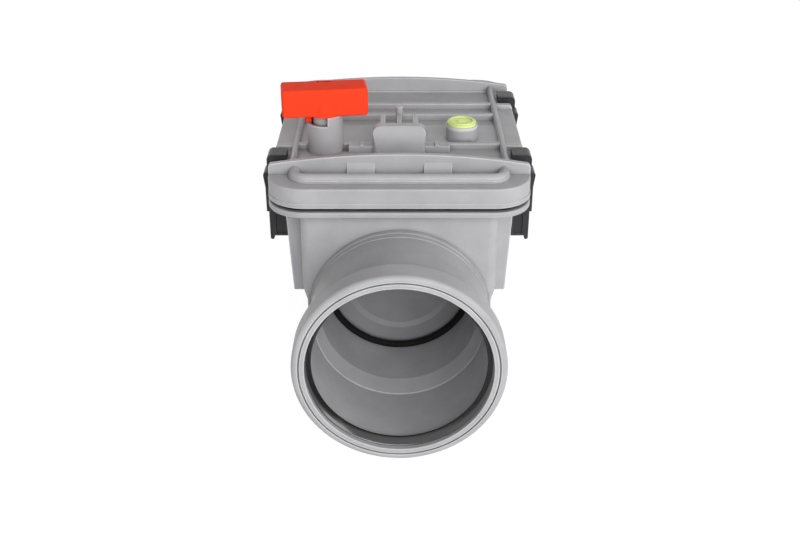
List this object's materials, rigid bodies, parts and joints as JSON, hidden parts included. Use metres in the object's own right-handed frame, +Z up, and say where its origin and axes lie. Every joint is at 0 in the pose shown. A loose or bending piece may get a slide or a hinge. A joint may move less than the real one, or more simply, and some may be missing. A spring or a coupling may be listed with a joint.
{
  "type": "backwater valve",
  "caption": "Drain backwater valve: push-fit inlet socket and outlet spigot on a box chamber with a hinged flap, latched cover, lock handle and test plug.",
  "frame": {"origin": "on the pipe axis at the pipe stop inside the inlet socket", "axes": "+Y along the flow from inlet to outlet, +Z up, +X to the right when looking with the flow"},
  "size_m": [0.1774, 0.335, 0.2],
  "materials": {
    "grey_body": "moulded satin",
    "grey_inner": "moulded satin",
    "rubber": "smooth",
    "charcoal": "fine grain",
    "red_handle": "satin",
    "lime_plug": "satin",
    "steel": "bright"
  },
  "bodies": {
    "valve_body": {"chamber": "grey_body", "inlet_socket": "grey_body", "outlet_spigot": "grey_body", "inlet_lip_seal": "rubber", "flap_frame": "grey_inner", "seat_seal": "rubber", "flap_hinge_pin": "steel", "cover": "grey_body", "cover_gasket": "rubber", "latch_pivot_pins": "steel"},
    "flap": {"flap_disc": "grey_inner", "flap_arm": "grey_inner", "flap_screws": "steel"},
    "lock": {"lock_handle": "red_handle", "lock_shaft": "grey_inner", "lock_finger": "charcoal", "handle_screw": "steel", "shaft_seal": "rubber", "shaft_clip": "steel"},
    "plug": {"test_plug": "lime_plug", "plug_seal": "rubber"},
    "lever_front_left": {"latch_lever_front_left": "charcoal", "latch_pin_front_left": "steel"},
    "strap_front_left": {"latch_strap_front_left": "charcoal"},
    "lever_front_right": {"latch_lever_front_right": "charcoal", "latch_pin_front_right": "steel"},
    "strap_front_right": {"latch_strap_front_right": "charcoal"},
    "lever_back_left": {"latch_lever_back_left": "charcoal", "latch_pin_back_left": "steel"},
    "strap_back_left": {"latch_strap_back_left": "charcoal"},
    "lever_back_right": {"latch_lever_back_right": "charcoal", "latch_pin_back_right": "steel"},
    "strap_back_right": {"latch_strap_back_right": "charcoal"}
  },
  "joints": [
    {"name": "flap_hinge", "type": "hinge", "parent": "valve_body", "child": "flap", "pos_m": [0, 0.064, 0.064], "axis": [1, 0, 0], "range_deg": [0, 65]},
    {"name": "lock_turn", "type": "hinge", "parent": "valve_body", "child": "lock", "pos_m": [-0.049, 0.077, 0.1152], "axis": [0, 0, 1], "range_deg": [0, 83]},
    {"name": "plug_lift", "type": "slide", "parent": "valve_body", "child": "plug", "axis": [0, 0, 1], "range_m": [0, 0.025]},
    {"name": "lever_front_left_hinge", "type": "hinge", "parent": "valve_body", "child": "lever_front_left", "pos_m": [-0.0795, 0.0575, 0.065], "axis": [0, 1, 0], "range_deg": [0, 95]},
    {"name": "strap_front_left_hinge", "type": "hinge", "parent": "lever_front_left", "child": "strap_front_left", "pos_m": [-0.079, 0.0575, 0.057], "axis": [0, 1, 0], "range_deg": [-120.5, 0]},
    {"name": "lever_front_right_hinge", "type": "hinge", "parent": "valve_body", "child": "lever_front_right", "pos_m": [0.0795, 0.0575, 0.065], "axis": [0, -1, 0], "range_deg": [0, 95]},
    {"name": "strap_front_right_hinge", "type": "hinge", "parent": "lever_front_right", "child": "strap_front_right", "pos_m": [0.079, 0.0575, 0.057], "axis": [0, -1, 0], "range_deg": [-120.5, 0]},
    {"name": "lever_back_left_hinge", "type": "hinge", "parent": "valve_body", "child": "lever_back_left", "pos_m": [-0.0795, 0.1715, 0.065], "axis": [0, 1, 0], "range_deg": [0, 95]},
    {"name": "strap_back_left_hinge", "type": "hinge", "parent": "lever_back_left", "child": "strap_back_left", "pos_m": [-0.079, 0.1715, 0.057], "axis": [0, 1, 0], "range_deg": [-120.5, 0]},
    {"name": "lever_back_right_hinge", "type": "hinge", "parent": "valve_body", "child": "lever_back_right", "pos_m": [0.0795, 0.1715, 0.065], "axis": [0, -1, 0], "range_deg": [0, 95]},
    {"name": "strap_back_right_hinge", "type": "hinge", "parent": "lever_back_right", "child": "strap_back_right", "pos_m": [0.079, 0.1715, 0.057], "axis": [0, -1, 0], "range_deg": [-120.5, 0]}
  ],
  "couplings": [
    {"joint": "strap_front_left_hinge", "follows": "lever_front_left_hinge", "ratio": -1.2632},
    {"joint": "strap_front_right_hinge", "follows": "lever_front_right_hinge", "ratio": -1.2632},
    {"joint": "strap_back_left_hinge", "follows": "lever_back_left_hinge", "ratio": -1.2632},
    {"joint": "strap_back_right_hinge", "follows": "lever_back_right_hinge", "ratio": -1.2632}
  ]
}
